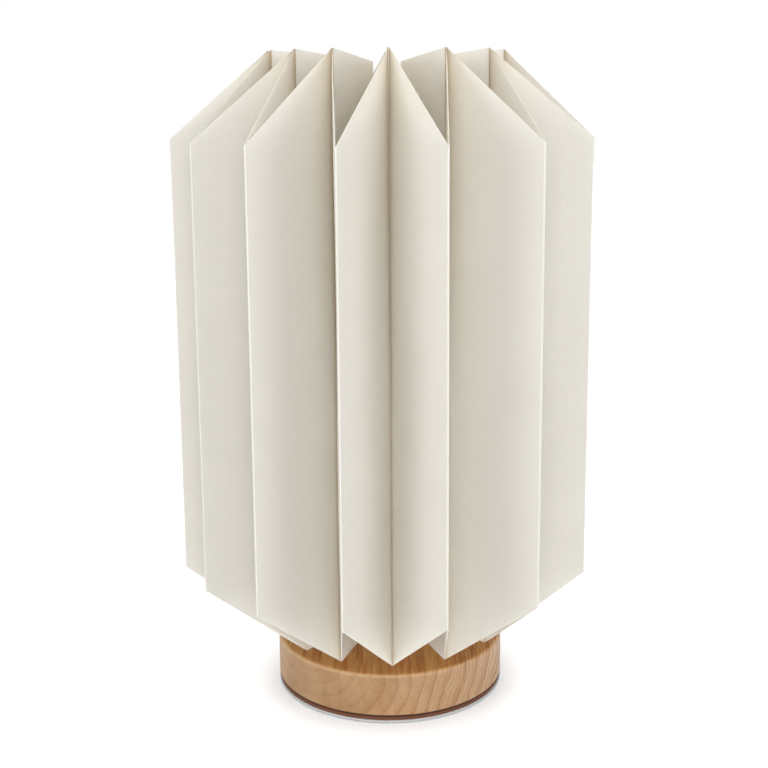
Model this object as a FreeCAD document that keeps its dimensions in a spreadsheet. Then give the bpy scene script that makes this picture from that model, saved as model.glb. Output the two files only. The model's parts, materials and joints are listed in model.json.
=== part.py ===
import FreeCAD, Part
import math
import os
import re
import Sketcher

# A folding lamp: a pleated paper shade that fans round a light tube on a turned wooden base.
# Millimetres, +Z up. The origin is on the floor under the axis, and the front faces -Y.
# The shade is one long strip of paper. Each leaf is a double layer that runs from the tube
# out to a valley crease, and each pleat is two panels that meet at an outer ridge crease.

# Driving dimensions, one cell each in the document's sheet
SIZES = {
    # Paper strip
    "sheet_thickness": 0.3,
    "tape_thickness": 0.2,
    "crease_swell": 0.06,
    "crease_gap": 0.15,
    "ridge_gap": 0.1,
    "valley_radius": 45.0,
    "panel_width": 37.5,
    "valley_height": 229.2,
    "ridge_drop": 32.1,
    "ridge_rise": 28.9,
    "leaf_clearance": 2.5,
    "leaf_end_rise": 4.5,
    "shade_hover": 3.4,
    # Binding rings and seam magnets
    "binding_margin": 4.0,
    "binding_wire_radius": 0.6,
    "binding_hole_clearance": 0.5,
    "binding_inset": 20.0,
    "magnet_radius": 3.0,
    "magnet_thickness": 1.0,
    "magnet_inset": 7.0,
    # Feet and wooden base
    "nonslip_thickness": 0.8,
    "pad_thickness": 1.6,
    "pad_inset": 0.5,
    "base_radius": 45.5,
    "base_height": 17.0,
    "base_top_fillet": 1.5,
    "base_low_chamfer": 0.6,
    "base_wall": 9.5,
    "cavity_depth": 11.0,
    "rear_wall": 4.0,
    "socket_side_gap": 2.7,
    "port_gap": 4.2,
    "button_side_gap": 1.9,
    # Bottom cover and its screws
    "cover_lap": 4.0,
    "cover_thickness": 2.0,
    "screw_radius": 1.0,
    "screw_length": 8.0,
    "screw_head_radius": 1.7,
    "screw_head_height": 1.0,
    "boss_radius": 2.0,
    # Light core
    "tube_radius": 9.5,
    "tube_wall": 1.2,
    "tube_length": 130.0,
    "cap_thickness": 2.5,
    "cap_spigot": 4.0,
    "cap_fillet": 1.0,
    "flange_rim": 8.5,
    "flange_floor": 1.5,
    "flange_chamfer": 0.8,
    "stem_radius": 6.0,
    "stem_bore_radius": 3.0,
    "stem_tail": 0.3,
    "nut_thickness": 3.2,
    "nut_wall": 3.0,
    "strip_width": 10.0,
    "strip_thickness": 1.2,
    "strip_headroom": 8.0,
    "chip_side": 3.4,
    "chip_thickness": 0.8,
    # Power parts in the cavity
    "battery_side_gap": 11.0,
    "battery_corner_gap": 0.6,
    "battery_width": 34.0,
    "battery_headroom": 0.5,
    "battery_fillet": 1.5,
    "board_side_gap": 0.7,
    "board_cell_gap": 5.0,
    "board_thickness": 1.2,
    "board_step": 1.8,
    "socket_width": 9.0,
    "socket_height": 3.2,
    "socket_length": 8.5,
    "socket_wall": 0.4,
    "socket_set_back": 1.3,
    "socket_fillet": 1.2,
    "tongue_thickness": 0.7,
    "tongue_length": 5.0,
    "switch_width": 6.0,
    "switch_depth": 4.2,
    "switch_height": 3.6,
    "switch_bore_depth": 1.5,
    "button_shoulder": 0.9,
    "button_flange_gap": 0.2,
    "button_flange_thickness": 1.0,
    "button_stem_radius": 1.4,
    "button_stand_out": 0.8,
    "button_travel": 0.6,
    "button_fillet": 0.8,
    # Fits
    "seat_gap": 0.3,
    "slide_fit": 0.1,
    "cut_overrun": 2.0,
}

# Sizes that follow from the driving ones, as formulas in the same sheet
DERIVED_SIZES = {
    "leaf_half": "sheet_thickness + tape_thickness / 2",
    "crease_radius": "sheet_thickness + crease_swell",
    "crease_trim": "crease_radius + crease_gap",
    "leaf_inner_radius": "tube_radius + leaf_clearance",
    "leaf_span": "valley_radius - leaf_inner_radius",
    "foot_height": "nonslip_thickness + pad_thickness",
    "base_top": "foot_height + base_height",
    "cover_top": "foot_height + cover_thickness",
    "ceiling": "foot_height + cavity_depth",
    "shade_foot": "base_top + shade_hover",
    "binding_radius": "leaf_inner_radius + binding_margin",
    "binding_hole_radius": "binding_wire_radius + binding_hole_clearance",
    "cavity_radius": "base_radius - base_wall",
    "cover_radius": "cavity_radius + cover_lap",
    "screw_circle": "cavity_radius + cover_lap / 2",
    "tube_bore": "tube_radius - tube_wall",
    "tube_foot": "base_top + flange_floor",
    "tube_top": "tube_foot + tube_length",
    "strip_length": "tube_length - cap_spigot - strip_headroom",
    "flange_radius": "tube_radius + flange_rim",
    "nut_circumradius": "stem_radius + nut_wall",
    "stem_end": "ceiling - nut_thickness - stem_tail",
    "battery_half_length": "cavity_radius - battery_side_gap",
    "battery_reach": "cavity_radius - battery_corner_gap",
    "battery_front": "-sqrt(battery_reach ^ 2 - battery_half_length ^ 2)",
    "battery_rear": "battery_front + battery_width",
    "battery_thickness": "stem_end - battery_headroom - cover_top",
    "button_height": "(cover_top + ceiling) / 2",
    "button_flange_radius": "(ceiling - cover_top) / 2 - button_flange_gap",
    "button_radius": "button_flange_radius - button_shoulder",
    "board_top": "button_height - switch_height / 2",
    "board_foot": "board_top - board_thickness",
    "boss_height": "board_foot - cover_top",
    "board_front": "battery_rear + board_cell_gap",
    "bay_end": "base_radius - rear_wall",
    "board_edge": "bay_end - seat_gap",
    "port_width": "socket_side_gap + socket_width + port_gap",
    "bay_half_width": "port_width / 2 + button_flange_radius + button_side_gap / 2",
    "board_half_width": "bay_half_width - board_side_gap",
    "socket_offset": "bay_half_width - socket_side_gap - socket_width / 2",
    "switch_offset": "bay_half_width - button_side_gap - button_flange_radius",
    "port_split": "socket_width / 2 - socket_offset + port_gap / 2",
    "switch_face": "bay_end - button_flange_thickness - button_travel - seat_gap - board_step / 2",
    "socket_face": "base_radius - socket_set_back",
}

# How wide each pleat stands open, counted from the seam: the paper springs open unevenly
PLEAT_OPENING_SHARES = (30, 31, 33, 14, 25, 22, 26, 27, 29, 30, 31, 32, 30)
SEAM_ANGLE = 180.0
FULL_TURN = 360.0
SCREW_ANGLES = (45, 135, 225, 315)
MAGNET_HEIGHT_SHARES = (0.15, 0.5, 0.85)
CHIP_ROWS = 10

Z_AXIS = FreeCAD.Vector(0, 0, 1)
X_AXIS = FreeCAD.Vector(1, 0, 0)

doc = FreeCAD.newDocument("folding_lamp")
sheet = doc.addObject("Spreadsheet::Sheet", "Sizes")
sub_parts = []


def fill_sheet():
    """Write each driving size as a number and each derived one as a formula, with its alias."""
    row = 1
    for name, value in SIZES.items():
        sheet.set("A%d" % row, str(value))
        sheet.setAlias("A%d" % row, name)
        row += 1
    for name, text in DERIVED_SIZES.items():
        sheet.set("A%d" % row, "=" + text)
        sheet.setAlias("A%d" % row, name)
        row += 1
    doc.recompute()


def size(name):
    """The value of one cell of the sheet."""
    return float(getattr(sheet, name))


def cell(word):
    """A size's reference in an expression; any other word stays as it is."""
    return "Sizes." + word if word in SIZES or word in DERIVED_SIZES else word


def bind(target, prop, text):
    """Bind a property to a formula written with the names of sizes."""
    target.setExpression(prop, re.sub(r"[a-z_]+", lambda found: cell(found.group()), text))


def keep(label, made):
    """Give a sub-part its label and list it for export."""
    made.Label = label
    sub_parts.append(made)
    return made


# Sketches and features

def new_body(label):
    return keep(label, doc.addObject("PartDesign::Body", label))


def new_sketch(body, role, lift=None):
    """A sketch on one of the body's own origin planes, lifted along the plane's normal."""
    plane = [item for item in body.Origin.OriginFeatures if item.Role == role][0]
    sketch = body.newObject("Sketcher::SketchObject", body.Label + "_sketch")
    sketch.AttachmentSupport = [(plane, "")]
    sketch.MapMode = "FlatFace"
    if lift:
        bind(sketch, "AttachmentOffset.Base.z", lift)
    return sketch


def place_point(sketch, geometry, point, x_text, y_text):
    """Hold one point of the sketch at a place given by two formulas."""
    for kind, text in (("DistanceX", x_text), ("DistanceY", y_text)):
        number = sketch.addConstraint(Sketcher.Constraint(kind, -1, 1, geometry, point, 1))
        bind(sketch, "Constraints[%d]" % number, text)


def draw_polygon(sketch, corners):
    """A closed outline of straight lines through the corners."""
    count = len(corners)
    first = sketch.GeometryCount
    turns = [2 * math.pi * index / count for index in range(count)]
    spots = [FreeCAD.Vector(math.cos(turn), math.sin(turn), 0) for turn in turns]
    for index in range(count):
        sketch.addGeometry(Part.LineSegment(spots[index], spots[(index + 1) % count]), False)
    for index in range(count):
        following = first + (index + 1) % count
        sketch.addConstraint(Sketcher.Constraint("Coincident", first + index, 2, following, 1))
    for index, (x_text, y_text) in enumerate(corners):
        place_point(sketch, first + index, 1, x_text, y_text)


def draw_rectangle(sketch, left, right, low, high):
    draw_polygon(sketch, [(left, low), (right, low), (right, high), (left, high)])


def draw_circle(sketch, x_text, y_text, radius):
    number = sketch.addGeometry(Part.Circle(FreeCAD.Vector(0, 0, 0), Z_AXIS, 1), False)
    place_point(sketch, number, 3, x_text, y_text)
    limit = sketch.addConstraint(Sketcher.Constraint("Radius", number, 1))
    bind(sketch, "Constraints[%d]" % limit, radius)


def add_pad(body, sketch, length, backwards=False, midplane=False):
    pad = body.newObject("PartDesign::Pad", body.Label + "_pad")
    pad.Profile = sketch
    pad.Reversed = backwards
    pad.Midplane = midplane
    bind(pad, "Length", length)
    return pad


def add_pocket(body, sketch, length, backwards=False, midplane=False):
    """Cut the sketch into the body, and stop if nothing was cut."""
    doc.recompute()
    before = body.Shape.Volume
    pocket = body.newObject("PartDesign::Pocket", body.Label + "_pocket")
    pocket.Profile = sketch
    pocket.Reversed = backwards
    pocket.Midplane = midplane
    bind(pocket, "Length", length)
    doc.recompute()
    if not body.Shape.Volume < before:
        raise RuntimeError("a pocket of " + body.Label + " cuts nothing")
    return pocket


def add_turning(body, corners):
    """Turn a profile of radius and height about the vertical axis."""
    sketch = new_sketch(body, "XZ_Plane")
    draw_polygon(sketch, corners)
    turning = body.newObject("PartDesign::Revolution", body.Label + "_turning")
    turning.Profile = sketch
    turning.ReferenceAxis = (sketch, ["V_Axis"])
    return turning


def pick_edges(body, wanted):
    """The body's tip with the names of its edges for which wanted(edge) is true."""
    doc.recompute()
    tip = body.Tip
    edges = enumerate(tip.Shape.Edges, 1)
    return (tip, ["Edge%d" % number for number, edge in edges if wanted(edge)])


def add_fillet(body, radius, wanted):
    edges = pick_edges(body, wanted)
    fillet = body.newObject("PartDesign::Fillet", body.Label + "_fillet")
    fillet.Base = edges
    bind(fillet, "Radius", radius)


def add_chamfer(body, width, wanted):
    edges = pick_edges(body, wanted)
    chamfer = body.newObject("PartDesign::Chamfer", body.Label + "_chamfer")
    chamfer.Base = edges
    bind(chamfer, "Size", width)


def near(value, target):
    return math.isclose(value, target, abs_tol=Part.Precision.approximation())


def is_rim(radius, height):
    """A test for the round edge of this radius at this height about the vertical axis."""
    def wanted(edge):
        curve = edge.Curve
        if not isinstance(curve, Part.Circle):
            return False
        return near(curve.Radius, size(radius)) and near(curve.Center.z, height)
    return wanted


def runs_along(axis):
    """A test for straight edges along one axis, given as 0, 1 or 2."""
    def wanted(edge):
        if not isinstance(edge.Curve, Part.Line):
            return False
        return near(abs(edge.Curve.Direction[axis]), 1)
    return wanted


def turned(angle, base):
    """A placement turned about the vertical axis."""
    return FreeCAD.Placement(base, FreeCAD.Rotation(Z_AXIS, angle))


# Paper shade

def leaf_rise(radius_text):
    """Height of a leaf's lower edge over the valley tips, at a distance from the axis."""
    return "leaf_end_rise * (valley_radius - (%s)) / leaf_span" % radius_text


def draw_leaf(sketch, inner, outer):
    """The side view of a leaf between two distances from the axis."""
    low_inner, low_outer = leaf_rise(inner), leaf_rise(outer)
    draw_polygon(sketch, [
        (inner, low_inner),
        (outer, low_outer),
        (outer, "valley_height - %s" % low_outer),
        (inner, "valley_height - %s" % low_inner),
    ])


def punch_leaf(body):
    """The two holes through which the binding rings pass."""
    sketch = new_sketch(body, "XZ_Plane")
    draw_circle(sketch, "binding_radius", "binding_inset", "binding_hole_radius")
    draw_circle(sketch, "binding_radius", "valley_height - binding_inset", "binding_hole_radius")
    add_pocket(body, sketch, "2 * (leaf_half + cut_overrun)", midplane=True)


def make_double_leaf(label):
    """Two layers of paper taped face to face, with the strip's rounded fold at the inner end."""
    body = new_body(label)
    fold = "leaf_inner_radius + leaf_half"
    outline = new_sketch(body, "XZ_Plane")
    draw_leaf(outline, fold, "valley_radius - crease_trim")
    add_pad(body, outline, "2 * leaf_half", midplane=True)
    rounding = new_sketch(body, "XY_Plane", leaf_rise(fold))
    draw_circle(rounding, fold, "0", "leaf_half")
    add_pad(body, rounding, "valley_height - 2 * %s" % leaf_rise(fold))
    punch_leaf(body)
    return body


def make_seam_leaf(label, is_first):
    """The single layer at one end of the strip."""
    body = new_body(label)
    lift = "-tape_thickness / 2" if is_first else "tape_thickness / 2"
    outline = new_sketch(body, "XZ_Plane", lift)
    draw_leaf(outline, "leaf_inner_radius", "valley_radius - crease_trim")
    add_pad(body, outline, "sheet_thickness", backwards=is_first)
    punch_leaf(body)
    return body


def make_panel(label, is_left):
    """One panel from its valley crease to the ridge; the left one carries the ridge's fold."""
    body = new_body(label)
    reach = "panel_width" if is_left else "(panel_width - crease_trim)"
    outline = new_sketch(body, "XZ_Plane")
    draw_polygon(outline, [
        ("0", "0"),
        (reach, "ridge_rise * %s / panel_width" % reach),
        (reach, "valley_height - ridge_drop * %s / panel_width" % reach),
        ("0", "valley_height"),
    ])
    add_pad(body, outline, "sheet_thickness", backwards=not is_left)
    valley = new_sketch(body, "XY_Plane")
    draw_circle(valley, "0", "0", "crease_radius")
    add_pad(body, valley, "valley_height")
    if is_left:
        ridge = new_sketch(body, "XY_Plane", "ridge_rise")
        draw_circle(ridge, "panel_width", "0", "crease_radius")
        add_pad(body, ridge, "valley_height - ridge_rise - ridge_drop")
    return body


def bend_of_pleat(opening):
    """The angle between a leaf and its panel, so that both panels meet at the ridge."""
    half = math.radians(opening / 2)
    inset = size("leaf_half") * math.cos(half) + size("ridge_gap") / 2
    spread = size("valley_radius") * math.sin(half) - inset
    return math.degrees(half + math.asin(spread / size("panel_width")))


def crease_place(heading, side, bend):
    """Placement of a panel at the valley crease of the leaf that points along heading."""
    foot = FreeCAD.Vector(size("valley_radius"), side * size("leaf_half"), size("shade_foot"))
    base = FreeCAD.Rotation(Z_AXIS, heading).multVec(foot)
    return turned(heading + side * bend, base)


def make_shade():
    """Leaves and pleats in order round the axis, from the seam back to the seam."""
    total = sum(PLEAT_OPENING_SHARES)
    openings = [FULL_TURN * share / total for share in PLEAT_OPENING_SHARES]
    quarter = FULL_TURN / 4
    headings = [SEAM_ANGLE - quarter + sum(openings[:index]) for index in range(len(openings) + 1)]
    foot = FreeCAD.Vector(0, 0, size("shade_foot"))
    last = len(openings)
    for index, heading in enumerate(headings):
        label = "leaf_%02d" % index
        if index in (0, last):
            leaf = make_seam_leaf(label, index == 0)
        else:
            leaf = make_double_leaf(label)
        leaf.Placement = turned(heading, foot)
    for index, opening in enumerate(openings):
        bend = bend_of_pleat(opening)
        left = make_panel("pleat_%02d_left" % (index + 1), True)
        left.Placement = crease_place(headings[index], 1, bend)
        right = make_panel("pleat_%02d_right" % (index + 1), False)
        right.Placement = crease_place(headings[index + 1], -1, bend)
    make_magnets("seam_magnets_first", headings[0], 1)
    make_magnets("seam_magnets_last", headings[last], -1)


def make_magnets(label, heading, side):
    """Disc magnets on the pleat side of a seam leaf; the pair holds the ring of leaves shut."""
    discs = []
    base = "leaf_half" if side > 0 else "-leaf_half - magnet_thickness"
    for share in MAGNET_HEIGHT_SHARES:
        disc = doc.addObject("Part::Cylinder", label + "_disc")
        disc.Placement = FreeCAD.Placement(FreeCAD.Vector(), FreeCAD.Rotation(X_AXIS, -90))
        bind(disc, "Radius", "magnet_radius")
        bind(disc, "Height", "magnet_thickness")
        bind(disc, "Placement.Base.x", "valley_radius - magnet_inset")
        bind(disc, "Placement.Base.y", base)
        bind(disc, "Placement.Base.z", "valley_height * %s" % share)
        discs.append(disc)
    group = keep(label, doc.addObject("Part::Compound", label))
    group.Links = discs
    group.Placement = turned(heading, FreeCAD.Vector(0, 0, size("shade_foot")))


def make_binding_rings():
    """Two wire rings through every leaf, on which the leaves turn about the axis."""
    rings = []
    for height in ("binding_inset", "valley_height - binding_inset"):
        ring = doc.addObject("Part::Torus", "binding_ring")
        bind(ring, "Radius1", "binding_radius")
        bind(ring, "Radius2", "binding_wire_radius")
        bind(ring, "Placement.Base.z", "shade_foot + " + height)
        rings.append(ring)
    group = keep("binding_rings", doc.addObject("Part::Compound", "binding_rings"))
    group.Links = rings


# Wooden base and feet

def make_wood_base():
    """A turned puck, hollowed from below, with a bay at the rear for the socket and button."""
    body = new_body("wood_base")
    add_turning(body, [
        ("stem_radius + slide_fit", "base_top"),
        ("base_radius", "base_top"),
        ("base_radius", "foot_height"),
        ("cover_radius + slide_fit", "foot_height"),
        ("cover_radius + slide_fit", "cover_top"),
        ("cavity_radius", "cover_top"),
        ("cavity_radius", "ceiling"),
        ("stem_radius + slide_fit", "ceiling"),
    ])
    add_fillet(body, "base_top_fillet", is_rim("base_radius", size("base_top")))
    add_chamfer(body, "base_low_chamfer", is_rim("base_radius", size("foot_height")))
    bay = new_sketch(body, "XY_Plane", "cover_top")
    draw_rectangle(bay, "-bay_half_width", "bay_half_width", "cavity_radius / 2", "bay_end")
    add_pocket(body, bay, "cavity_depth - cover_thickness", backwards=True)
    pilots = new_sketch(body, "XY_Plane", "cover_top")
    draw_screw_circles(pilots, "screw_radius + slide_fit / 2")
    add_pocket(body, pilots, "screw_length - cover_thickness + slide_fit", backwards=True)
    cut_wall(body, lambda sketch: draw_rectangle(
        sketch,
        "-socket_offset - socket_width / 2 - slide_fit",
        "-socket_offset + socket_width / 2 + slide_fit",
        "board_top - slide_fit",
        "board_top + socket_height + slide_fit",
    ))
    cut_wall(body, lambda sketch: draw_circle(
        sketch, "switch_offset", "button_height", "button_radius + slide_fit"
    ))


def cut_wall(body, draw):
    """Cut an outline through the rear wall, from outside into the bay."""
    sketch = new_sketch(body, "XZ_Plane", "-base_radius - cut_overrun")
    draw(sketch)
    add_pocket(body, sketch, "cut_overrun + rear_wall + seat_gap", backwards=True)


def draw_screw_circles(sketch, radius):
    for angle in SCREW_ANGLES:
        x_text = "screw_circle * cos(%d deg)" % angle
        draw_circle(sketch, x_text, "screw_circle * sin(%d deg)" % angle, radius)


def make_base_cover():
    """The plate that closes the cavity, with bosses under the board and counterbored holes."""
    body = new_body("base_cover")
    disc = new_sketch(body, "XY_Plane", "foot_height")
    draw_circle(disc, "0", "0", "cover_radius")
    add_pad(body, disc, "cover_thickness")
    bosses = new_sketch(body, "XY_Plane", "cover_top")
    for side in ("-", ""):
        x_text = side + "(board_half_width - boss_radius)"
        draw_circle(bosses, x_text, "board_front + boss_radius", "boss_radius")
        draw_circle(bosses, x_text, "cavity_radius - 2 * boss_radius", "boss_radius")
    add_pad(body, bosses, "boss_height")
    holes = new_sketch(body, "XY_Plane", "foot_height")
    draw_screw_circles(holes, "screw_radius + slide_fit")
    add_pocket(body, holes, "cover_thickness", backwards=True)
    seats = new_sketch(body, "XY_Plane", "foot_height")
    draw_screw_circles(seats, "screw_head_radius + slide_fit")
    add_pocket(body, seats, "screw_head_height", backwards=True)


def make_cover_screws():
    """Four wood screws with flat heads, as one group."""
    screws = []
    for angle in SCREW_ANGLES:
        head = doc.addObject("Part::Cylinder", "screw_head")
        bind(head, "Radius", "screw_head_radius")
        bind(head, "Height", "screw_head_height")
        shank = doc.addObject("Part::Cylinder", "screw_shank")
        bind(shank, "Radius", "screw_radius")
        bind(shank, "Height", "screw_length")
        screw = doc.addObject("Part::Fuse", "screw")
        screw.Base = head
        screw.Tool = shank
        bind(screw, "Placement.Base.x", "screw_circle * cos(%d deg)" % angle)
        bind(screw, "Placement.Base.y", "screw_circle * sin(%d deg)" % angle)
        bind(screw, "Placement.Base.z", "foot_height")
        screws.append(screw)
    group = keep("cover_screws", doc.addObject("Part::Compound", "cover_screws"))
    group.Links = screws


def make_feet():
    """The brown pad under the wood and the thin light pad that grips the table."""
    pad = keep("foot_pad", doc.addObject("Part::Cylinder", "foot_pad"))
    bind(pad, "Radius", "base_radius - pad_inset")
    bind(pad, "Height", "pad_thickness")
    bind(pad, "Placement.Base.z", "nonslip_thickness")
    grip = keep("nonslip_pad", doc.addObject("Part::Cylinder", "nonslip_pad"))
    bind(grip, "Radius", "base_radius")
    bind(grip, "Height", "nonslip_thickness")


# Light core

def flange_height(radius_text):
    """Height of the flange's sloping seat, just under the lower edges of the leaves."""
    return "shade_foot + %s - seat_gap" % leaf_rise(radius_text)


def make_core_flange():
    """A socket for the tube whose sloping rim carries the leaves, on a stem through the wood."""
    body = new_body("core_flange")
    socket = "tube_radius + slide_fit"
    add_turning(body, [
        ("stem_bore_radius", "stem_end"),
        ("stem_radius", "stem_end"),
        ("stem_radius", "base_top"),
        ("flange_radius", "base_top"),
        ("flange_radius", flange_height("flange_radius")),
        (socket, flange_height(socket)),
        (socket, "tube_foot"),
        ("stem_bore_radius", "tube_foot"),
    ])
    add_chamfer(body, "flange_chamfer", is_rim("flange_radius", flange_rim_height()))


def flange_rim_height():
    """Height of the flange's outer rim."""
    rise = size("leaf_end_rise") * (size("valley_radius") - size("flange_radius")) / size("leaf_span")
    return size("shade_foot") + rise - size("seat_gap")


def make_core_nut():
    """The hexagon nut that draws the flange down onto the wood."""
    hexagon = doc.addObject("Part::Prism", "nut_hexagon")
    hexagon.Polygon = 6
    bind(hexagon, "Circumradius", "nut_circumradius")
    bind(hexagon, "Height", "nut_thickness")
    bind(hexagon, "Placement.Base.z", "ceiling - nut_thickness")
    bore = doc.addObject("Part::Cylinder", "nut_bore")
    bind(bore, "Radius", "stem_radius + slide_fit / 2")
    bind(bore, "Height", "nut_thickness + 2 * cut_overrun")
    bind(bore, "Placement.Base.z", "ceiling - nut_thickness - cut_overrun")
    nut = keep("core_nut", doc.addObject("Part::Cut", "core_nut"))
    nut.Base = hexagon
    nut.Tool = bore


def make_light_tube():
    """The frosted tube that spreads the light, and the cap that closes it."""
    tube = new_body("light_tube")
    add_turning(tube, [
        ("tube_bore", "tube_foot"),
        ("tube_radius", "tube_foot"),
        ("tube_radius", "tube_top"),
        ("tube_bore", "tube_top"),
    ])
    cap = new_body("tube_cap")
    add_turning(cap, [
        ("0", "tube_top - cap_spigot"),
        ("tube_bore - slide_fit", "tube_top - cap_spigot"),
        ("tube_bore - slide_fit", "tube_top"),
        ("tube_radius", "tube_top"),
        ("tube_radius", "tube_top + cap_thickness"),
        ("0", "tube_top + cap_thickness"),
    ])
    add_fillet(cap, "cap_fillet", is_rim("tube_radius", size("tube_top") + size("cap_thickness")))


def make_led_strip():
    """A metal strip that stands in the tube, with rows of light chips on both faces."""
    strip = keep("led_strip", doc.addObject("Part::Box", "led_strip"))
    bind(strip, "Length", "strip_width")
    bind(strip, "Width", "strip_thickness")
    bind(strip, "Height", "strip_length")
    bind(strip, "Placement.Base.x", "-strip_width / 2")
    bind(strip, "Placement.Base.y", "-strip_thickness / 2")
    bind(strip, "Placement.Base.z", "tube_foot")
    chips = []
    for face in ("strip_thickness / 2", "-strip_thickness / 2 - chip_thickness"):
        for row in range(CHIP_ROWS):
            chip = doc.addObject("Part::Box", "led_chip")
            bind(chip, "Length", "chip_side")
            bind(chip, "Width", "chip_thickness")
            bind(chip, "Height", "chip_side")
            bind(chip, "Placement.Base.x", "-chip_side / 2")
            bind(chip, "Placement.Base.y", face)
            place = (row + 1) / (CHIP_ROWS + 1)
            bind(chip, "Placement.Base.z", "tube_foot + strip_length * %s - chip_side / 2" % place)
            chips.append(chip)
    group = keep("led_chips", doc.addObject("Part::Compound", "led_chips"))
    group.Links = chips


# Power parts in the cavity

def make_battery():
    """A flat pouch cell that lies on the cover."""
    body = new_body("battery_cell")
    sketch = new_sketch(body, "XY_Plane", "cover_top")
    draw_rectangle(
        sketch,
        "-battery_half_length",
        "battery_half_length",
        "battery_front",
        "battery_rear",
    )
    add_pad(body, sketch, "battery_thickness")
    add_fillet(body, "battery_fillet", runs_along(0))


def make_control_board():
    """The circuit board on the cover's bosses, stepped back where the button moves."""
    body = new_body("control_board")
    sketch = new_sketch(body, "XY_Plane", "board_foot")
    draw_polygon(sketch, [
        ("-board_half_width", "board_front"),
        ("board_half_width", "board_front"),
        ("board_half_width", "board_edge - board_step"),
        ("port_split", "board_edge - board_step"),
        ("port_split", "board_edge"),
        ("-board_half_width", "board_edge"),
    ])
    add_pad(body, sketch, "board_thickness")


def make_usb_socket():
    """A charging socket on the board, its mouth in the rear of the wood."""
    body = new_body("usb_socket")
    shell = new_sketch(body, "XZ_Plane", "-socket_face")
    draw_socket(shell, "0")
    add_pad(body, shell, "socket_length")
    add_fillet(body, "socket_fillet", runs_along(1))
    mouth = new_sketch(body, "XZ_Plane", "-socket_face - cut_overrun")
    draw_socket(mouth, "socket_wall")
    add_pocket(body, mouth, "cut_overrun + socket_length - 2 * socket_wall", backwards=True)
    tongue = new_sketch(body, "XZ_Plane", "-socket_face + socket_length - socket_wall")
    draw_rectangle(
        tongue,
        "-socket_offset - socket_width / 3",
        "-socket_offset + socket_width / 3",
        "board_top + socket_height / 2 - tongue_thickness / 2",
        "board_top + socket_height / 2 + tongue_thickness / 2",
    )
    add_pad(body, tongue, "tongue_length + socket_wall", backwards=True)


def draw_socket(sketch, inset):
    """The socket's outline on the rear face, drawn in by the inset."""
    draw_rectangle(
        sketch,
        "-socket_offset - socket_width / 2 + %s" % inset,
        "-socket_offset + socket_width / 2 - %s" % inset,
        "board_top + %s" % inset,
        "board_top + socket_height - %s" % inset,
    )


def make_tact_switch():
    """The small switch on the board, with a bore for the button's stem."""
    body = new_body("tact_switch")
    case = new_sketch(body, "XY_Plane", "board_top")
    draw_rectangle(
        case,
        "switch_offset - switch_width / 2",
        "switch_offset + switch_width / 2",
        "switch_face - switch_depth",
        "switch_face",
    )
    add_pad(body, case, "switch_height")
    bore = new_sketch(body, "XZ_Plane", "-switch_face - cut_overrun")
    draw_circle(bore, "switch_offset", "button_height", "button_stem_radius + slide_fit")
    add_pocket(body, bore, "cut_overrun + switch_bore_depth", backwards=True)


def make_switch_button():
    """The push button: a round head through the wood, a flange behind the wall and a stem."""
    body = new_body("switch_button")
    back = "-slide_fit - button_flange_thickness"
    stem = "switch_face - bay_end - switch_bore_depth / 3"
    head = "rear_wall + button_stand_out"
    add_turning(body, [
        ("0", stem),
        ("button_stem_radius", stem),
        ("button_stem_radius", back),
        ("button_flange_radius", back),
        ("button_flange_radius", "-slide_fit"),
        ("button_radius", "-slide_fit"),
        ("button_radius", head),
        ("0", head),
    ])
    head_height = size("rear_wall") + size("button_stand_out")
    add_fillet(body, "button_fillet", is_rim("button_radius", head_height))
    base = FreeCAD.Vector(size("switch_offset"), size("bay_end"), size("button_height"))
    body.Placement = FreeCAD.Placement(base, FreeCAD.Rotation(X_AXIS, -90))


def check_document():
    """Stop if any object failed or a sub-part has no valid solid."""
    for item in doc.Objects:
        if "Invalid" in item.State or "Error" in item.State:
            raise RuntimeError("failed object: " + item.Label)
    for item in sub_parts:
        if item.Shape.isNull() or not item.Shape.isValid() or not item.Shape.Solids:
            raise RuntimeError("no valid solid: " + item.Label)


def main():
    fill_sheet()
    make_shade()
    make_binding_rings()
    make_wood_base()
    make_base_cover()
    make_cover_screws()
    make_feet()
    make_core_flange()
    make_core_nut()
    make_light_tube()
    make_led_strip()
    make_battery()
    make_control_board()
    make_usb_socket()
    make_tact_switch()
    make_switch_button()
    doc.recompute()
    check_document()
    os.makedirs("parts", exist_ok=True)
    for item in sub_parts:
        item.Shape.exportStep(os.path.join("parts", item.Label + ".step"))


main()
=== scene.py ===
import json
import math

import bpy
from mathutils import Matrix, Vector


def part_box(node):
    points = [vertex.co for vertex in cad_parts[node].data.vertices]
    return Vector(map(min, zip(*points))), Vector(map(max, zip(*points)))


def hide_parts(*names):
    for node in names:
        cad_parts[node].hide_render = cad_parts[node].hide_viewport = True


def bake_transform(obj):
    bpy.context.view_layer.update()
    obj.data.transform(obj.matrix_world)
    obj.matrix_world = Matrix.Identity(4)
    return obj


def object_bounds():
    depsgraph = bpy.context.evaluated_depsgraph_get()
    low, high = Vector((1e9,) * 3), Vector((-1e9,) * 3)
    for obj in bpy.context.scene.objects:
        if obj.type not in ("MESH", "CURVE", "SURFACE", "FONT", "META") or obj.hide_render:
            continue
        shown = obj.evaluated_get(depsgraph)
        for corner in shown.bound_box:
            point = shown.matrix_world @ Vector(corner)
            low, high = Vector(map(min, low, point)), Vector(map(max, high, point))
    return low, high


# A folding paper lamp on a turned wooden base. Metres, +Z up, the front faces -Y.

MM = 0.001

# Paper strip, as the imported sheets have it
SHEET_THICKNESS = 0.3 * MM
LEAF_HALF = 0.4 * MM
CREASE_RADIUS = 0.36 * MM
CREASE_TRIM = 0.51 * MM

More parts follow.
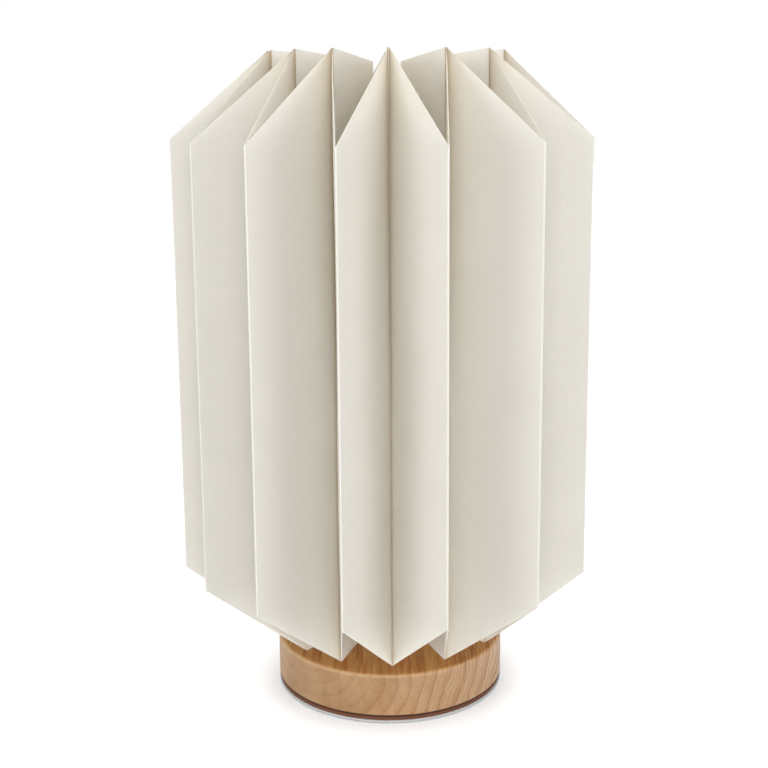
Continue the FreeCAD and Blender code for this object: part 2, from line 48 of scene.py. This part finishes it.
# How a panel leaves its valley crease and rounds its ridge, where the right panel tucks under the left
BEND_LENGTH = 0.5 * MM
RIDGE_TURN = math.radians(140)
LAP_TURN = math.radians(50)
LAP_INSET = 0.015 * MM

# A slight wave of each panel, which differs from one panel to the next
WAVE_HEIGHT = 0.22 * MM
WAVE_LENGTH = 130.0 * MM
WAVE_SHIFT = 0.37
WAVE_BEND = 2.0
WAVE_BEND_SHIFT = 1.7
WAVE_BEND_TURN = 3.0

# Steps of a panel's mesh, closer together near the valley, and the strip that whitens before the ridge
WIDTH_STEPS = 26
HEIGHT_STEPS = 24
ROWS = HEIGHT_STEPS + 1
RIDGE_STEPS = 8
STEP_EASE = 2.2
RIDGE_WHITE = 0.45 * MM
FIT_ROUNDS = 16
SHARP_ANGLE = math.radians(40)

# Plain ends of tints and masks
WHITE = (1.0, 1.0, 1.0, 1.0)
BLACK = (0.0, 0.0, 0.0, 1.0)

# Painted light and shade on the paper: warmer and brighter near valleys and on inner leaves, and painted
# shade where valleys end above
VALLEY_LIGHT_LENGTH = 12.0 * MM
PAINTED_VALLEY_LIGHT_GAIN = (1.12, 1.095, 1.04, 1.0)
VALLEY_SHADE_FOOT = 120.0 * MM
VALLEY_SHADE_TOP = 235.0 * MM
VALLEY_SHADE_POWER = 3.2
PAINTED_LEAF_LIGHT_FULL_RADIUS = 14.0 * MM
PAINTED_LEAF_LIGHT_END_RADIUS = 46.0 * MM
SHEER_SHARE = 0.42

# The wood's pith, where its rings grow strong, its slanted figure, and the height of the painted shade
# along its lower edge
PITH_SHIFT = (33.0 * MM, 0.0, -27.0 * MM)
RING_QUIET = 40.0 * MM
FIGURE_SLANT = math.radians(32)
PAINTED_FOOT_SHADE_HEIGHT = 0.8 * MM

# Texture scales, in cells for each metre
CLOUD_SCALE = 45.0
FIBRE_SCALE = 2600.0
RING_SCALE = 60.0
THREAD_SCALE = 210.0
WOBBLE_SCALE = 42.0
FIGURE_SCALE = 190.0
PATCH_SCALE = 60.0
STREAK_SCALE = 420.0
PORE_SCALE = 1900.0
FLAKE_SCALE = 900.0

# Depths of the fine relief
FIBRE_DEPTH = 0.02 * MM
GRAIN_DEPTH = 0.05 * MM

# Speckled finishes: two display colours, texture scale, range of roughness and share of metal
SPECKLED = {
    "clear_grip": ((186, 185, 184), (202, 201, 200), 300.0, (0.3, 0.45), 0.0),
    "bright_steel": ((176, 176, 178), (200, 200, 202), 700.0, (0.22, 0.36), 1.0),
    "turned_alloy": ((196, 196, 198), (218, 218, 220), 500.0, (0.28, 0.42), 1.0),
    "brass": ((190, 158, 92), (212, 180, 112), 600.0, (0.25, 0.4), 1.0),
    "frosted_tube": ((214, 215, 214), (224, 224, 221), 220.0, (0.35, 0.5), 0.0),
    "yellow_chips": ((226, 206, 92), (240, 222, 120), 800.0, (0.3, 0.5), 0.0),
    "black_plastic": ((30, 30, 31), (42, 42, 43), 1200.0, (0.45, 0.6), 0.0),
    "ivory_plastic": ((228, 226, 219), (238, 236, 230), 1200.0, (0.4, 0.55), 0.0),
    "cell_foil": ((176, 178, 182), (198, 200, 204), 260.0, (0.3, 0.5), 0.6),
    "board_lacquer": ((26, 78, 52), (36, 96, 64), 500.0, (0.3, 0.45), 0.0),
}

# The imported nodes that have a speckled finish
NODE_FINISHES = {
    "base_cover": "black_plastic",
    "cover_screws": "bright_steel",
    "nonslip_pad": "clear_grip",
    "core_flange": "turned_alloy",
    "core_nut": "brass",
    "light_tube": "frosted_tube",
    "tube_cap": "frosted_tube",
    "led_strip": "turned_alloy",
    "led_chips": "yellow_chips",
    "battery_cell": "cell_foil",
    "control_board": "board_lacquer",
    "usb_socket": "bright_steel",
    "tact_switch": "black_plastic",
    "switch_button": "ivory_plastic",
    "binding_rings": "bright_steel",
    "seam_magnets_first": "bright_steel",
    "seam_magnets_last": "bright_steel",
}

# The photograph's frame and view
IMAGE_WIDTH = 768
FOCAL_PIXELS = 1300.0
CENTRE_ROW = 330.0
SENSOR_WIDTH = 36.0
CAMERA_PLACE = Vector((-1.48, -503.8, 242.1)) * MM
CAMERA_TILT = math.radians(11.04)
CAMERA_ROLL = math.radians(-0.42)

# The floor, which a glow lifts to white away from the object; the glow is weaker near the object and
# where ambient occlusion finds it hemmed in, a painted contact shadow over the real one
FLOOR_SIZE = 6.0
FLOOR_GAP = 0.4 * MM
FLOOR_COLOUR = (0.91, 0.935, 0.96, 1.0)
FLOOR_LIFT = 0.42
FLOOR_WHITE_RADIUS = 0.25
CONTACT_LENGTH = 18.0 * MM

# Light from all round, and soft boxes: place, power in watts and width
WORLD_LIGHT = 0.4
LAMPS = {
    "left": ((-1.37, -1.01, 0.3), 11.0, 0.9),
    "right": ((1.37, -1.01, 0.3), 9.6, 0.9),
    "front": ((0.0, -1.7, 0.3), 10.9, 0.9),
    "back": ((0.0, 1.6, 0.9), 9.0, 1.0),
    "top": ((0.0, -0.2, 1.6), 2.0, 1.0),
}


# Node helpers

def add_node(tree, kind, inputs=None, **settings):
    """A shader node with its settings; an input is a value or another node's output."""
    node = tree.nodes.new(kind)
    for name, value in settings.items():
        setattr(node, name, value)
    for name, value in (inputs or {}).items():
        if isinstance(value, bpy.types.NodeSocket):
            tree.links.new(value, node.inputs[name])
        else:
            node.inputs[name].default_value = value
    return node


def srgb(red, green, blue):
    """A colour given as 0 to 255 display values."""
    def linear(value):
        share = value / 255
        return share / 12.92 if share <= 0.04045 else ((share + 0.055) / 1.055) ** 2.4
    return (linear(red), linear(green), linear(blue), 1.0)


def new_material(name):
    """A material with its tree and its main shader."""
    material = bpy.data.materials.new(name)
    material.use_nodes = True
    tree = material.node_tree
    return material, tree, tree.nodes["Principled BSDF"]


def object_place(tree, stretch=(1, 1, 1), turn=(0, 0, 0), shift=(0, 0, 0)):
    """Coordinates fixed to the object, stretched, turned and moved."""
    place = add_node(tree, "ShaderNodeTexCoord")
    mapping = add_node(tree, "ShaderNodeMapping", {
        "Vector": place.outputs["Object"],
        "Location": shift,
        "Rotation": turn,
        "Scale": stretch,
    })
    return mapping.outputs["Vector"]


def add_noise(tree, place, scale, detail=3.0, roughness=0.5):
    node = add_node(tree, "ShaderNodeTexNoise", {
        "Vector": place,
        "Scale": scale,
        "Detail": detail,
        "Roughness": roughness,
    })
    return node.outputs["Fac"]


def add_ramp(tree, value, stops):
    """Colours along a value from 0 to 1."""
    node = add_node(tree, "ShaderNodeValToRGB", {"Fac": value})
    band = node.color_ramp.elements
    while len(band) < len(stops):
        band.new(0.5)
    for element, (spot, colour) in zip(band, stops):
        element.position = spot
        element.color = colour
    return node.outputs["Color"]


def add_range(tree, value, low, high, start=0.0, end=1.0):
    """Bring a value that goes from start to end to the range from low to high."""
    node = add_node(tree, "ShaderNodeMapRange", {
        "Value": value,
        "From Min": start,
        "From Max": end,
        "To Min": low,
        "To Max": high,
    })
    return node.outputs["Result"]


def add_along(tree, axis, start, end, low=0.0, high=1.0):
    """A value that goes from low to high between two places along one axis of the object."""
    place = add_node(tree, "ShaderNodeTexCoord").outputs["Object"]
    spot = add_node(tree, "ShaderNodeSeparateXYZ", {"Vector": place}).outputs[axis]
    return add_range(tree, spot, low, high, start, end)


def add_mix(tree, share, first, second, blend_type="MIX"):
    node = add_node(tree, "ShaderNodeMix", data_type="RGBA", blend_type=blend_type)
    for socket, value in (("Factor_Float", share), ("A_Color", first), ("B_Color", second)):
        target = next(item for item in node.inputs if item.identifier == socket)
        if isinstance(value, bpy.types.NodeSocket):
            tree.links.new(value, target)
        else:
            target.default_value = value
    return next(item for item in node.outputs if item.identifier == "Result_Color")


def tint(tree, colour, tone, share=1.0):
    """A colour multiplied by a tone, wholly or in part."""
    return add_mix(tree, share, colour, tone, "MULTIPLY")


def add_math(tree, operation, first, second):
    node = add_node(tree, "ShaderNodeMath", {0: first, 1: second}, operation=operation)
    return node.outputs["Value"]


def add_length(tree, vector):
    node = add_node(tree, "ShaderNodeVectorMath", {0: vector}, operation="LENGTH")
    return node.outputs["Value"]


def add_attribute(tree, name):
    """A value that the mesh carries at its points, zero where it has none."""
    return add_node(tree, "ShaderNodeAttribute", attribute_name=name).outputs["Fac"]


def add_seen(tree):
    """One for rays that show a thing itself, straight, mirrored or through it, else zero."""
    paths = add_node(tree, "ShaderNodeLightPath").outputs
    seen = add_math(tree, "MAXIMUM", paths["Is Camera Ray"], paths["Is Glossy Ray"])
    return add_math(tree, "MAXIMUM", seen, paths["Is Transmission Ray"])


def coat(tree, shader, colour, grain, rough, relief, depth):
    """Give a shader its colour, and let one grain vary its gloss and its relief."""
    tree.links.new(colour, shader.inputs["Base Color"])
    tree.links.new(add_range(tree, grain, *rough), shader.inputs["Roughness"])
    bump = add_node(tree, "ShaderNodeBump", {
        "Height": grain,
        "Strength": relief,
        "Distance": depth,
    })
    tree.links.new(bump.outputs["Normal"], shader.inputs["Normal"])


def set_surface(tree, shader_output):
    tree.links.new(shader_output, tree.nodes["Material Output"].inputs["Surface"])


# Paper

def add_sheet_tone(tree, fibre, low, high):
    """The paper's own colour: faint clouds between two tones, and fine fibres."""
    cloud = add_noise(tree, object_place(tree), CLOUD_SCALE, 4.0, 0.55)
    tone = add_ramp(tree, cloud, [(0.3, low), (0.7, high)])
    speck = add_ramp(tree, fibre, [(0.35, srgb(248, 247, 244)), (0.65, WHITE)])
    return tint(tree, tone, speck)


def add_painted_fold_light_and_shade(tree, sheet):
    """The paper near its folds: painted yellowish light in valleys and on inner leaves, painted shade
    along the valley creases, and painted shade towards the valleys' tops.
    """
    valley = add_attribute(tree, "valley")
    radius = add_length(tree, object_place(tree, (1, 1, 0)))
    inside = add_range(tree, radius, 1.0, 0.0, PAINTED_LEAF_LIGHT_FULL_RADIUS, PAINTED_LEAF_LIGHT_END_RADIUS)
    # Painted light: brighter and yellower near valleys and on leaves near the axis
    painted_light = add_mix(tree, add_math(tree, "MAXIMUM", valley, inside), WHITE, PAINTED_VALLEY_LIGHT_GAIN)
    # Painted shade along each valley crease
    fold = add_ramp(tree, valley, [(0.86, WHITE), (1.0, srgb(234, 222, 204))])
    toned = tint(tree, sheet, tint(tree, painted_light, fold))
    # Painted shade towards the tops of the valleys
    upper = add_along(tree, "Z", VALLEY_SHADE_FOOT, VALLEY_SHADE_TOP)
    deep = add_math(tree, "POWER", valley, VALLEY_SHADE_POWER)
    return tint(tree, toned, srgb(202, 189, 166), add_math(tree, "MULTIPLY", deep, upper))


def make_paper(name, low, high):
    """Stiff ivory paper, whiter along its ridges, that lets a little light through."""
    material, tree, shader = new_material(name)
    fibre = add_noise(tree, object_place(tree, (1, 1, 0.35)), FIBRE_SCALE, 3.0, 0.6)
    toned = add_painted_fold_light_and_shade(tree, add_sheet_tone(tree, fibre, low, high))
    colour = add_mix(tree, add_attribute(tree, "crease"), toned, srgb(244, 243, 240))
    coat(tree, shader, colour, fibre, (0.55, 0.7), 0.25, FIBRE_DEPTH)
    shader.inputs["Specular IOR Level"].default_value = 0.35
    sheer = add_node(tree, "ShaderNodeBsdfTranslucent", {"Color": srgb(250, 247, 240)})
    mixed = add_node(tree, "ShaderNodeMixShader", {
        "Fac": SHEER_SHARE,
        1: shader.outputs["BSDF"],
        2: sheer.outputs["BSDF"],
    })
    set_surface(tree, mixed.outputs["Shader"])
    return material


# Wood

def add_rings(tree, scale, distortion, detail_scale, stops):
    """Growth rings of the wood about its pith, a line that runs from front to back."""
    rings = add_node(tree, "ShaderNodeTexWave", {
        "Vector": object_place(tree, shift=PITH_SHIFT),
        "Scale": scale,
        "Distortion": distortion,
        "Detail": 3.0,
        "Detail Scale": detail_scale,
        "Detail Roughness": 0.5,
    }, wave_type="RINGS", rings_direction="Y", wave_profile="SAW")
    return add_ramp(tree, rings.outputs["Fac"], stops)


def add_end_grain(tree, wobble, right, upward):
    """The turned side: brown with a slanted figure, with painted light that makes it paler at the right
    and a painted highlight along its upper rim.
    """
    tone = add_ramp(tree, wobble, [(0.3, srgb(166, 132, 92)), (0.7, srgb(192, 153, 115))])
    slanted = object_place(tree, (1, 0.1, 0.45), (0, FIGURE_SLANT, 0))
    figure = add_noise(tree, slanted, FIGURE_SCALE, 3.0, 0.55)
    tone = tint(tree, tone, add_ramp(tree, figure, [(0.36, srgb(238, 228, 214)), (0.62, WHITE)]))
    # Painted light: paler towards the right of the turned side
    tone = add_mix(tree, right, tone, srgb(198, 165, 130))
    # Painted highlight along the upper rim
    rim = add_ramp(tree, upward, [(0.1, BLACK), (0.45, srgb(190, 190, 190))])
    return add_mix(tree, rim, tone, srgb(214, 178, 134))


def add_growth(tree, tone, right):
    """Growth lines over a tone, uneven and stronger to the right, where fine threads join them."""
    lines = add_rings(tree, RING_SCALE, 8.0, 0.5, [
        (0.0, WHITE),
        (0.55, srgb(250, 245, 238)),
        (0.92, srgb(222, 200, 178)),
        (1.0, srgb(252, 249, 245)),
    ])
    threads = add_rings(tree, THREAD_SCALE, 10.0, 0.35, [
        (0.3, WHITE),
        (0.85, srgb(226, 208, 190)),
        (1.0, WHITE),
    ])
    patch = add_noise(tree, object_place(tree, (1, 0.2, 1)), PATCH_SCALE, 2.0, 0.5)
    strength = add_along(tree, "X", -RING_QUIET, RING_QUIET, 0.25, 1.1)
    strength = add_math(tree, "MULTIPLY", strength, add_range(tree, patch, 0.2, 1.4))
    return tint(tree, tint(tree, tone, lines, strength), threads, right)


def make_wood(low):
    """Oiled pale hardwood: its long grain shows on the level top, its end grain on the turned side. The
    top's orange tone is partly long grain and partly painted yellowish light from the paper above, and
    the lower edge has painted shade.
    """
    material, tree, shader = new_material("oiled_wood")
    wobble = add_noise(tree, object_place(tree, (1, 0.12, 1)), WOBBLE_SCALE)
    normal = add_node(tree, "ShaderNodeNewGeometry").outputs["Normal"]
    upward = add_node(tree, "ShaderNodeSeparateXYZ", {"Vector": normal}).outputs["Z"]
    level = add_ramp(tree, upward, [(0.75, BLACK), (0.98, WHITE)])
    # Grows towards the right: it places the painted light on the turned side and strengthens the fine
    # grain threads there
    right = add_along(tree, "X", 0.0, RING_QUIET)
    end_grain = add_end_grain(tree, wobble, right, upward)
    # The top's colour: long grain, and painted yellowish light from the paper above
    long_grain_with_painted_light = add_ramp(tree, wobble, [(0.3, srgb(208, 152, 86)), (0.7, srgb(228, 171, 100))])
    toned = add_growth(tree, add_mix(tree, level, end_grain, long_grain_with_painted_light), right)
    thin = add_noise(tree, object_place(tree, (1, 0.05, 1)), STREAK_SCALE, 3.0, 0.6)
    streaks = add_ramp(tree, thin, [(0.36, srgb(222, 190, 152)), (0.54, WHITE)])
    toned = tint(tree, toned, streaks, level)
    pores = add_noise(tree, object_place(tree, (1, 0.03, 1)), PORE_SCALE, 2.0, 0.6)
    dots = add_ramp(tree, pores, [(0.3, srgb(186, 150, 116)), (0.44, WHITE)])
    # Painted shade in the gap along the wood's lower edge
    edge = add_along(tree, "Z", low, low + PAINTED_FOOT_SHADE_HEIGHT)
    foot = add_ramp(tree, edge, [(0.4, srgb(120, 92, 70)), (1.0, WHITE)])
    colour = tint(tree, tint(tree, toned, dots, 0.35), foot)
    coat(tree, shader, colour, pores, (0.58, 0.42), 0.2, GRAIN_DEPTH)
    return material


# Other finishes

def make_pad(low, high):
    """A reddish-brown pressed pad with fine flakes, with painted shade where it meets the wood."""
    material, tree, shader = new_material("brown_pad")
    flake = add_noise(tree, object_place(tree, (1, 1, 3)), FLAKE_SCALE, 4.0, 0.6)
    tone = add_ramp(tree, flake, [(0.3, srgb(90, 52, 34)), (0.7, srgb(126, 78, 52))])
    # Painted shade along the top of the pad, where it meets the wood
    rise = add_along(tree, "Z", low, high)
    seam = add_ramp(tree, rise, [(0.55, WHITE), (0.95, srgb(120, 104, 96))])
    coat(tree, shader, tint(tree, tone, seam), flake, (0.8, 0.95), 0.3, GRAIN_DEPTH)
    return material


def make_speckled(name, low, high, scale, rough, metallic):
    """A finish with fine variation of tone and gloss between two colours and roughnesses."""
    material, tree, shader = new_material(name)
    grain = add_noise(tree, object_place(tree), scale, 4.0, 0.6)
    tone = add_ramp(tree, grain, [(0.3, srgb(*low)), (0.7, srgb(*high))])
    coat(tree, shader, tone, grain, rough, 0.3, GRAIN_DEPTH)
    shader.inputs["Metallic"].default_value = metallic
    return material


def make_floor_material():
    """A white floor that keeps the object's real shadow; a glow that lights nothing lifts it to plain
    white further out, and is weaker near the object and where ambient occlusion finds it hemmed in,
    which paints a contact shadow over the real one.
    """
    material, tree, shader = new_material("white_floor")
    tree.nodes.remove(shader)
    distance = add_length(tree, object_place(tree))
    # Painted contact shadow: the glow is weaker near the object and where ambient occlusion finds the
    # floor hemmed in
    white = add_range(tree, distance, FLOOR_LIFT, 1.0, 0.0, FLOOR_WHITE_RADIUS)
    open_sky = add_node(tree, "ShaderNodeAmbientOcclusion", {"Distance": CONTACT_LENGTH}).outputs["AO"]
    lift = add_math(tree, "MULTIPLY", add_math(tree, "MULTIPLY", add_seen(tree), white), open_sky)
    diffuse = add_node(tree, "ShaderNodeBsdfDiffuse", {"Color": FLOOR_COLOUR})
    glow = add_node(tree, "ShaderNodeEmission", {"Color": WHITE, "Strength": lift})
    both = add_node(tree, "ShaderNodeAddShader", {
        0: diffuse.outputs["BSDF"],
        1: glow.outputs["Emission"],
    })
    set_surface(tree, both.outputs["Shader"])
    return material


# Lines of the paper shade in plan

def direction(angle):
    return Vector((math.cos(angle), math.sin(angle)))


def trace_line(start, heading, turn, length):
    """Points along a sheet in plan that starts along heading and eases over to heading + turn."""
    points = [start.copy()]
    angles = [heading]
    done = 0.0
    shares = [(step / WIDTH_STEPS) ** STEP_EASE for step in range(1, WIDTH_STEPS + 1)]
    for along in [(length - RIDGE_WHITE) * share for share in shares] + [length]:
        middle = (done + along) / 2
        angle = heading + turn * (1 - math.exp(-middle / BEND_LENGTH))
        points.append(points[-1] + direction(angle) * (along - done))
        angles.append(heading + turn * (1 - math.exp(-along / BEND_LENGTH)))
        done = along
    return points, angles


def fit_line(start, heading, goal):
    """A sheet's line in plan from the leaf's end, straight on at first, to the goal."""
    span = goal - start
    aim = math.remainder(math.atan2(span.y, span.x) - heading, math.tau)
    turn = aim
    length = span.length
    for _ in range(FIT_ROUNDS):
        points, _ = trace_line(start, heading, turn, length)
        made = points[-1] - start
        turn += aim - math.remainder(math.atan2(made.y, made.x) - heading, math.tau)
        length *= span.length / made.length
    return trace_line(start, heading, turn, length)


def round_ridge(ridge, radius, angle, turn):
    """Points and headings of the fold that runs round the ridge, after the panel's last point."""
    side = math.copysign(1, turn)
    angles = [angle + turn * step / RIDGE_STEPS for step in range(1, RIDGE_STEPS + 1)]
    points = [ridge + direction(turned - side * math.pi / 2) * radius for turned in angles]
    return points, angles


def draw_panel(crease, side, ridge):
    """A panel's line in plan: out of its leaf, past the valley crease, to the ridge and round it."""
    heading = math.atan2(crease.y, crease.x) - side * math.asin(LEAF_HALF / crease.length)
    across = direction(heading + side * math.pi / 2)
    start = crease - direction(heading) * CREASE_TRIM - across * (SHEET_THICKNESS / 2)
    span = (ridge - crease).normalized()
    outward = Vector((span.y, -span.x)) * side
    radius = CREASE_RADIUS - SHEET_THICKNESS / 2
    turn = RIDGE_TURN
    if side < 0:
        radius -= LAP_INSET
        turn = -LAP_TURN
    points, angles = fit_line(start, heading, ridge + outward * radius)
    fold, turned = round_ridge(ridge, radius, angles[-1], turn)
    return points + fold, angles + turned


def mark_panel(points):
    """How far along its panel each point is, and marks of how near it lies to its ridge and to its
    valley; the ridge mark whitens the paper, the valley mark gives it painted light and shade.
    """
    flat = points[:-RIDGE_STEPS]
    spans = [(point - flat[0]).length for point in flat]
    shares = [span / spans[-1] for span in spans] + [1.0] * RIDGE_STEPS
    creases = [0.0] * (len(flat) - 1) + [1.0] * (RIDGE_STEPS + 1)
    valleys = [math.exp(-span / VALLEY_LIGHT_LENGTH) for span in spans] + [0.0] * RIDGE_STEPS
    return shares, {"crease": creases, "valley": valleys}


# Meshes of the paper shade

def wave(along, height, number):
    """A slight unevenness of the sheet, none at its two creases."""
    fade = math.sin(math.pi * along) ** 2
    turns = math.tau * (height / WAVE_LENGTH + WAVE_SHIFT * number)
    bend = WAVE_BEND * math.sin(WAVE_BEND_SHIFT * number + WAVE_BEND_TURN * along)
    return WAVE_HEIGHT * fade * math.sin(turns + bend)


def sheet_points(line, lows, highs, side, number):
    """Points of a sheet's two faces, in columns from low to high."""
    verts = []
    for face in (1, -1):
        for index, (point, angle) in enumerate(zip(*line)):
            outward = direction(angle - side * math.pi / 2)
            along = min(1.0, index / WIDTH_STEPS)
            for row in range(ROWS):
                height = lows[index] + (highs[index] - lows[index]) * row / HEIGHT_STEPS
                offset = face * SHEET_THICKNESS / 2 + wave(along, height, number)
                spot = point + outward * offset
                verts.append((spot.x, spot.y, height))
    return verts


def sheet_faces(columns):
    """The broad faces of a sheet, and the narrow ones round its rim."""
    back = columns * ROWS
    broad = []
    rims = []
    for low_a in range(0, back - ROWS, ROWS):
        low_b = low_a + ROWS
        for row in range(HEIGHT_STEPS):
            a = low_a + row
            b = low_b + row
            broad.append((a, b, b + 1, a + 1))
            broad.append((back + a + 1, back + b + 1, back + b, back + a))
        top_a = low_a + HEIGHT_STEPS
        top_b = low_b + HEIGHT_STEPS
        rims.append((low_b, low_a, back + low_a, back + low_b))
        rims.append((top_a, top_b, back + top_b, back + top_a))
    for row in range(HEIGHT_STEPS):
        end = back - ROWS + row
        rims.append((row + 1, row, back + row, back + row + 1))
        rims.append((end, end + 1, back + end + 1, back + end))
    return broad, rims


def make_sheet_mesh(name, line, lows, highs, marks, side, number):
    """A sheet of paper with thickness over a line in plan, between two heights at each point."""
    broad, rims = sheet_faces(len(lows))
    faces = broad + rims
    if side < 0:
        faces = [tuple(reversed(face)) for face in faces]
    mesh = bpy.data.meshes.new(name)
    mesh.from_pydata(sheet_points(line, lows, highs, side, number), [], faces)
    for polygon in mesh.polygons[len(broad):]:
        polygon.material_index = 1
    mesh.shade_smooth()
    mesh.set_sharp_from_angle(angle=SHARP_ANGLE)
    for mark, shares in marks.items():
        attribute = mesh.attributes.new(mark, "FLOAT", "POINT")
        attribute.data.foreach_set("value", 2 * [share for share in shares for _ in range(ROWS)])
    return mesh


def plan_of(vertex):
    return Vector((vertex.co.x, vertex.co.y))


def find_ridge(node, crease):
    """The ridge's place in plan and its two heights, from the panel that carries the fold."""
    vertices = node.data.vertices
    far = max((plan_of(vertex) - crease).length for vertex in vertices)
    rim = [vertex for vertex in vertices if (plan_of(vertex) - crease).length > far - CREASE_RADIUS]
    mean = sum((plan_of(vertex) for vertex in rim), Vector((0, 0))) / len(rim)
    outward = (mean - crease).normalized()
    heights = [vertex.co.z for vertex in rim]
    return crease + outward * (far - CREASE_RADIUS), min(heights), max(heights)


def make_panel_sheet(joint, side, ridge, ridge_low, ridge_high, number, papers):
    """One panel that grows out of its leaf, bends at the valley crease and meets the ridge."""
    node = joint["child"]
    name = node.replace("pleat", "paper")
    crease = Vector(joint["pos_m"][:2])
    line = draw_panel(crease, side, ridge)
    shares, marks = mark_panel(line[0])
    low, high = (corner.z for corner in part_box(node))
    lows = [low + (ridge_low - low) * share for share in shares]
    highs = [high + (ridge_high - high) * share for share in shares]
    mesh = make_sheet_mesh(name, line, lows, highs, marks, side, number)
    for paper in papers:
        mesh.materials.append(paper)
    sheet = bpy.data.objects.new(name, mesh)
    bpy.context.scene.collection.objects.link(sheet)
    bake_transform(sheet)
    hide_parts(node)


def make_shade(frame, papers):
    """All panels, two for each pleat."""
    creases = {joint["child"]: joint for joint in frame["joints"] if joint["name"].endswith("_crease")}
    lefts = sorted(name for name in creases if name.endswith("_left"))
    for number, left in enumerate(lefts):
        right = left.replace("_left", "_right")
        origin = Vector(creases[left]["pos_m"][:2])
        ridge, ridge_low, ridge_high = find_ridge(frame["nodes"][left], origin)
        for name, side in ((left, 1), (right, -1)):
            make_panel_sheet(
                creases[name], side, ridge, ridge_low, ridge_high, 2 * number + side, papers
            )


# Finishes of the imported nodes

def dress_nodes(frame, paper):
    """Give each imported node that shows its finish."""
    speckled = {name: make_speckled(name, *values) for name, values in SPECKLED.items()}
    finishes = {name: speckled[finish] for name, finish in NODE_FINISHES.items()}
    finishes["wood_base"] = make_wood(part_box("wood_base")[0].z)
    pad_low, pad_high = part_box("foot_pad")
    finishes["foot_pad"] = make_pad(pad_low.z, pad_high.z)
    for name, node in frame["nodes"].items():
        finish = paper if name.startswith("leaf_") else finishes.get(name)
        if finish is None:
            continue
        node.data.materials.clear()
        node.data.materials.append(finish)


# Stage, light and camera

def make_floor():
    mesh = bpy.data.meshes.new("floor")
    half = FLOOR_SIZE / 2
    corners = [(-half, -half), (half, -half), (half, half), (-half, half)]
    mesh.from_pydata([(x, y, -FLOOR_GAP) for x, y in corners], [], [(0, 1, 2, 3)])
    mesh.materials.append(make_floor_material())
    floor = bpy.data.objects.new("floor", mesh)
    bpy.context.scene.collection.objects.link(floor)


def make_world():
    """Even soft light from all round, which shows as white behind the object."""
    world = bpy.data.worlds.new("studio")
    bpy.context.scene.world = world
    world.use_nodes = True
    tree = world.node_tree
    strength = add_range(tree, add_seen(tree), WORLD_LIGHT, 1.0)
    background = tree.nodes["Background"]
    background.inputs["Color"].default_value = WHITE
    tree.links.new(strength, background.inputs["Strength"])


def add_lamp(name, place, aim, power, width):
    """A square soft box that faces a point."""
    lamp = bpy.data.lights.new(name, "AREA")
    lamp.energy = power
    lamp.size = width
    holder = bpy.data.objects.new(name, lamp)
    bpy.context.scene.collection.objects.link(holder)
    holder.location = place
    holder.rotation_euler = (aim - Vector(place)).to_track_quat("-Z", "Y").to_euler()


def make_lights(low, high):
    """The world's light and the soft boxes, which face the middle of the object."""
    make_world()
    for name, (place, power, width) in LAMPS.items():
        add_lamp(name, place, (low + high) / 2, power, width)


def make_camera():
    """The photograph's view, with the centre of its picture a little above the middle."""
    camera = bpy.data.cameras.new("camera")
    camera.sensor_width = SENSOR_WIDTH
    camera.lens = FOCAL_PIXELS * SENSOR_WIDTH / IMAGE_WIDTH
    camera.shift_y = (CENTRE_ROW - IMAGE_WIDTH / 2) / IMAGE_WIDTH
    camera.dof.use_dof = False
    holder = bpy.data.objects.new("camera", camera)
    bpy.context.scene.collection.objects.link(holder)
    look = Matrix.Rotation(math.pi / 2 - CAMERA_TILT, 4, "X") @ Matrix.Rotation(CAMERA_ROLL, 4, "Z")
    holder.matrix_world = Matrix.Translation(CAMERA_PLACE) @ look
    bpy.context.scene.camera = holder


with open("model.json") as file:
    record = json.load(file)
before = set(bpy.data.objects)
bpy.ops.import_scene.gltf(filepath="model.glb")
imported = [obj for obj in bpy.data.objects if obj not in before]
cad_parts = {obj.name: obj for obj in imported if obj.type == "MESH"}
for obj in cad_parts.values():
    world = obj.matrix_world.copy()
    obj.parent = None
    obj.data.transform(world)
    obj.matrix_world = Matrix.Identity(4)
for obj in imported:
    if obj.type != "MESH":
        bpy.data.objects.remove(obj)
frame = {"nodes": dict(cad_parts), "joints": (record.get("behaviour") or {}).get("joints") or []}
cad_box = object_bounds()
bpy.context.scene.view_settings.view_transform = "Standard"
paper = make_paper("ivory_paper", srgb(240, 239, 236), srgb(243, 242, 240))
# The cut rims of the sheets are a slightly lighter copy of the paper: a painted highlight where the cut
# edges catch light
edge = make_paper("paper_edge_painted_highlight", srgb(243, 242, 238), srgb(247, 246, 243))
make_shade(frame, (paper, edge))
dress_nodes(frame, paper)
make_floor()
make_lights(*cad_box)
make_camera()
